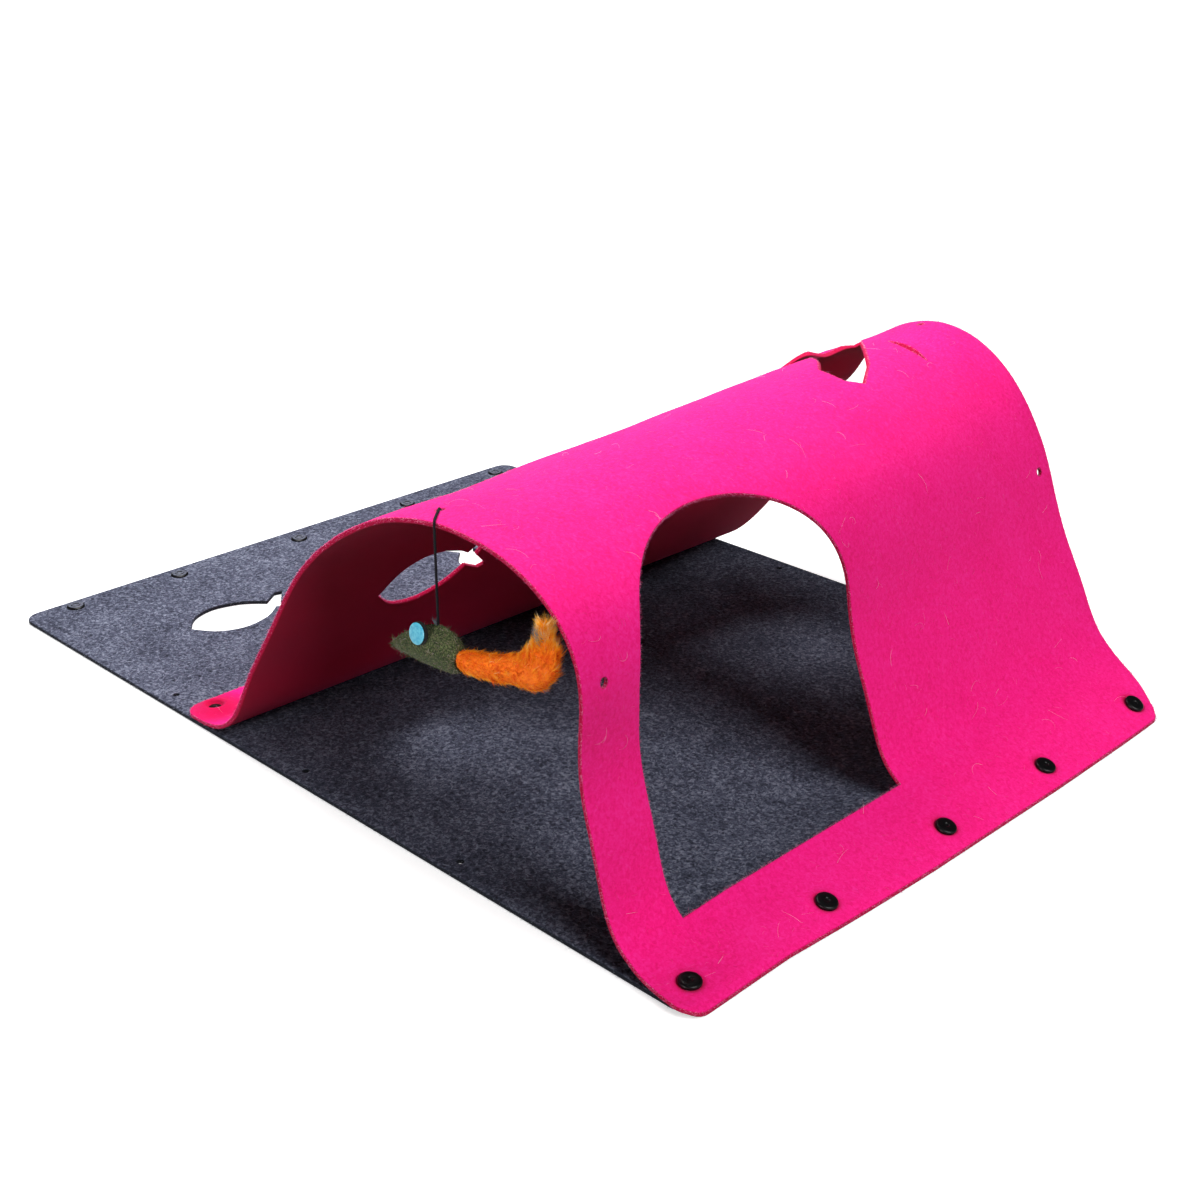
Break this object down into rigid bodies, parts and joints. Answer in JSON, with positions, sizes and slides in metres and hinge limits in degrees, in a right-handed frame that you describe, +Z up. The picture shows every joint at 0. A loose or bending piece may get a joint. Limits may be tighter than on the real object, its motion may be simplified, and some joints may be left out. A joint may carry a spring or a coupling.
{
  "type": "cat play tunnel",
  "caption": "Felt play tunnel for a cat: a longer sheet snapped in an arch over a flat mat, with a doorway, fish cut-outs and a hanging string toy",
  "frame": {"origin": "centre of the bounding box on the resting surface, without the string", "axes": "+Z up, X across the tunnel with the snapped hem at +X, Y along it with the end that holds the toy at -Y"},
  "size_m": [0.9, 0.6627, 0.2999],
  "materials": {
    "pink_felt": "needle-punched felt, hot pink, fuzzy surface with stray fibres",
    "grey_felt": "needle-punched felt, heathered blue grey",
    "snap_plastic": "moulded glossy black plastic snaps",
    "string_cord": "thin dark twisted cord",
    "toy_felt": "mottled olive green felt, stuffed",
    "toy_fur": "short dense orange fur",
    "eye_foam": "black foam backing",
    "eye_foil": "shiny pale blue disc"
  },
  "bodies": {
    "root": {"arch_sheet": "pink_felt", "base_mat": "grey_felt", "toy_string": "string_cord", "string_knot": "string_cord", "toy_body": "toy_felt", "toy_tail": "toy_fur", "eye_backing_front": "eye_foam", "eye_backing_back": "eye_foam", "eye_disc_front": "eye_foil", "eye_disc_back": "eye_foil", "hem_snap_1": "snap_plastic", "foot_snap_1": "snap_plastic", "edge_stud_1": "snap_plastic", "hem_snap_2": "snap_plastic", "foot_snap_2": "snap_plastic", "edge_stud_2": "snap_plastic", "hem_snap_3": "snap_plastic", "foot_snap_3": "snap_plastic", "edge_stud_3": "snap_plastic", "hem_snap_4": "snap_plastic", "foot_snap_4": "snap_plastic", "edge_stud_4": "snap_plastic", "hem_snap_5": "snap_plastic", "foot_snap_5": "snap_plastic", "edge_stud_5": "snap_plastic"}
  },
  "joints": []
}
